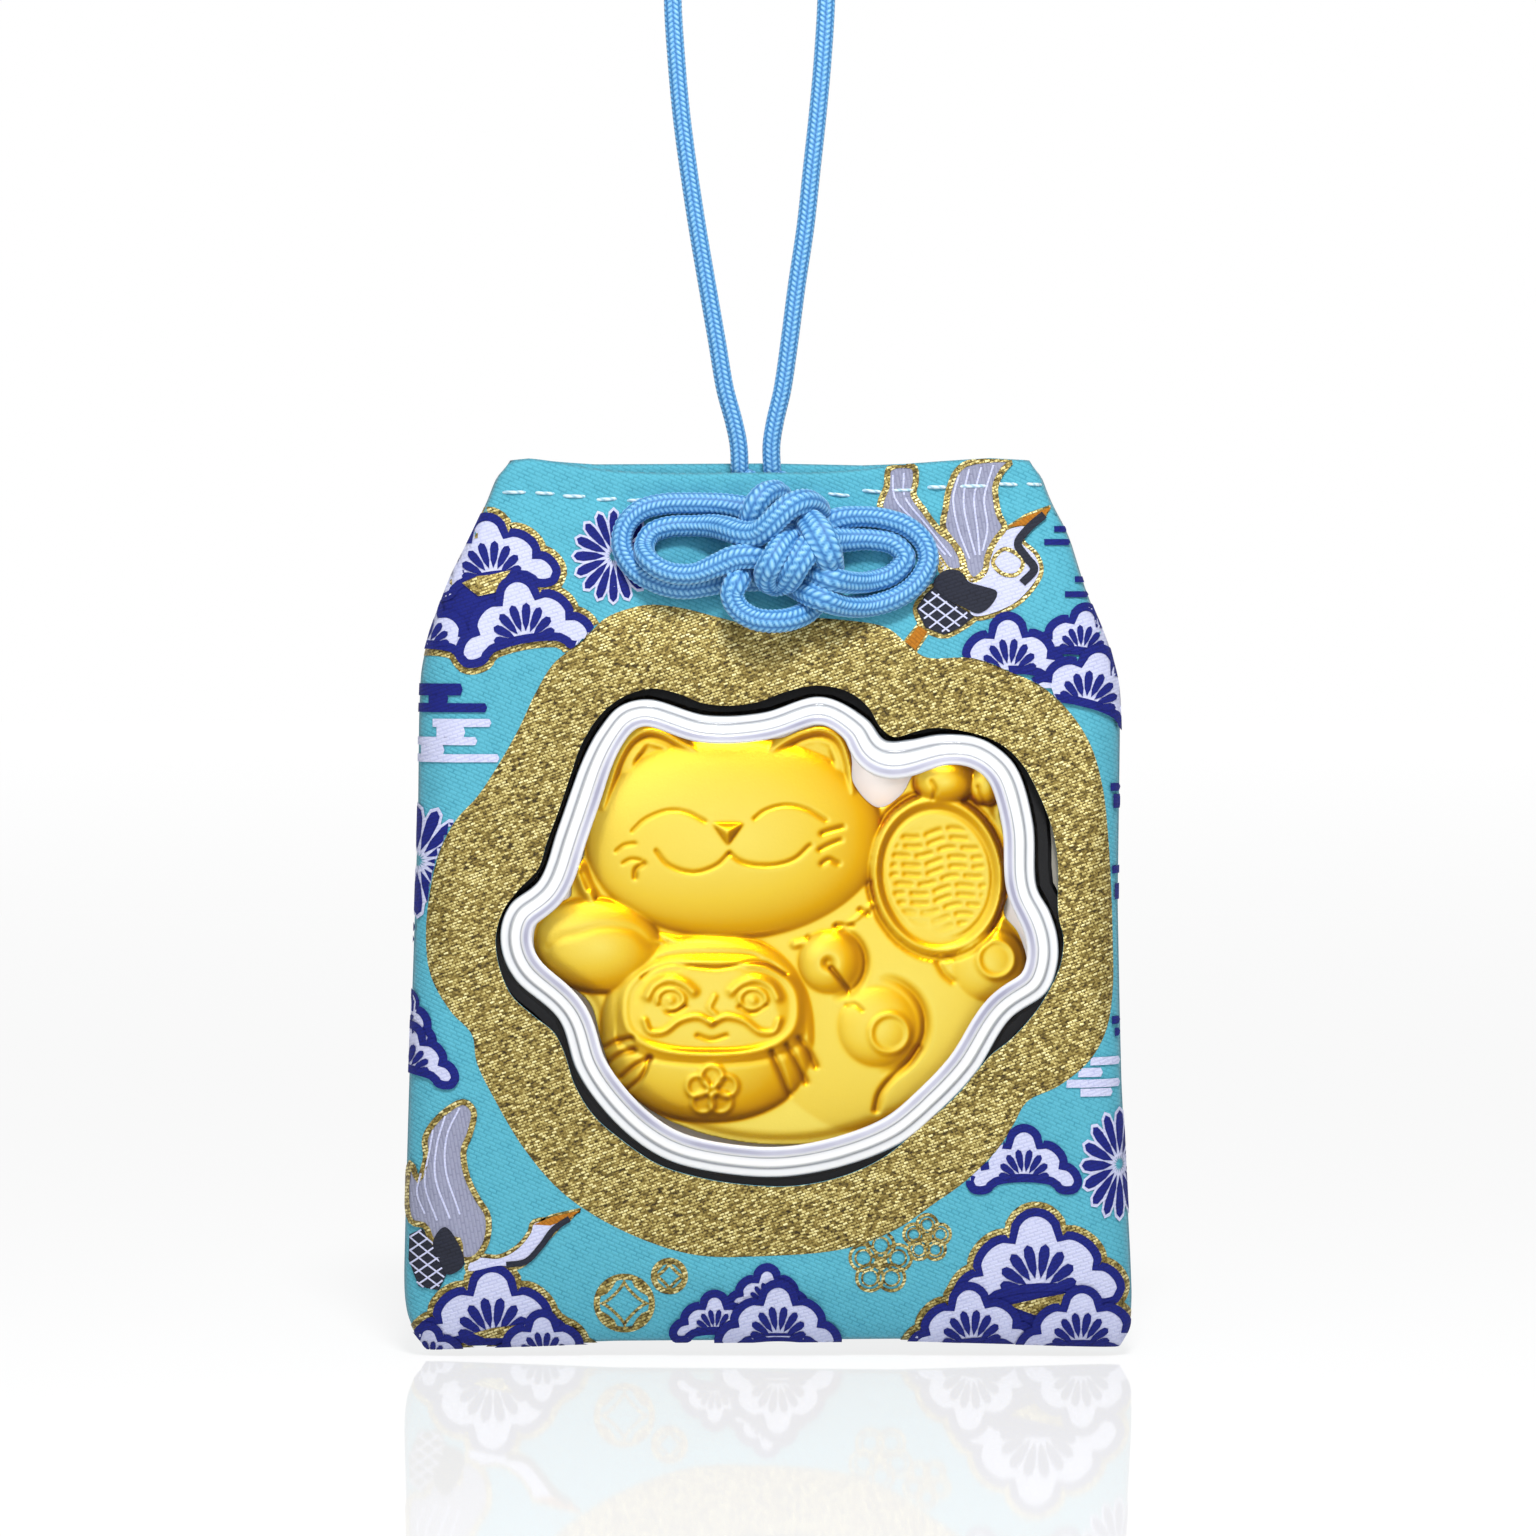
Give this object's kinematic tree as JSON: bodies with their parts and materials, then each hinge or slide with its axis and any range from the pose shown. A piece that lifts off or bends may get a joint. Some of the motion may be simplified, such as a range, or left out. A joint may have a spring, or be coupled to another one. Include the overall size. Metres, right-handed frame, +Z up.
{
  "type": "brocade charm pouch",
  "caption": "Brocade charm pouch on a knotted cord loop, with a stamped gold foil cat relief in a clear case behind a shaped window.",
  "frame": {"origin": "inside of the hanging loop's crown, where a hook or a strap holds it", "axes": "+Z up along the hanging loop, the relief faces -Y, +X to the right as seen from the front"},
  "size_m": [0.0604, 0.0123, 0.1241],
  "materials": {
    "brocade": "turquoise woven brocade with navy, pale and gold thread figures",
    "grey_card": "stiff grey card",
    "black_foam": "black moulded holder",
    "clear_case": "clear pressed plastic",
    "white_card": "white coated card",
    "gold_foil": "stamped gold foil, satin",
    "white_thread": "sewing thread",
    "braided_cord": "light blue braided cord"
  },
  "bodies": {
    "loop": {"hanging_loop": "braided_cord"},
    "pouch": {"front_panel": "brocade", "back_panel": "brocade", "window_card": "grey_card", "back_board": "grey_card", "case_holder": "black_foam", "case_base": "clear_case", "clear_cover": "clear_case", "backing_card": "white_card", "gold_relief": "gold_foil", "hem_thread_left": "white_thread", "hem_thread_right": "white_thread", "hem_thread_back": "white_thread", "seam_thread": "white_thread", "cord_knot": "braided_cord"}
  },
  "joints": [
    {"name": "pouch_swing", "type": "hinge", "parent": "loop", "child": "pouch", "pos_m": [0.00045, 0, -0.04785], "axis": [1, 0, 0], "range_deg": [-80, 80]}
  ]
}
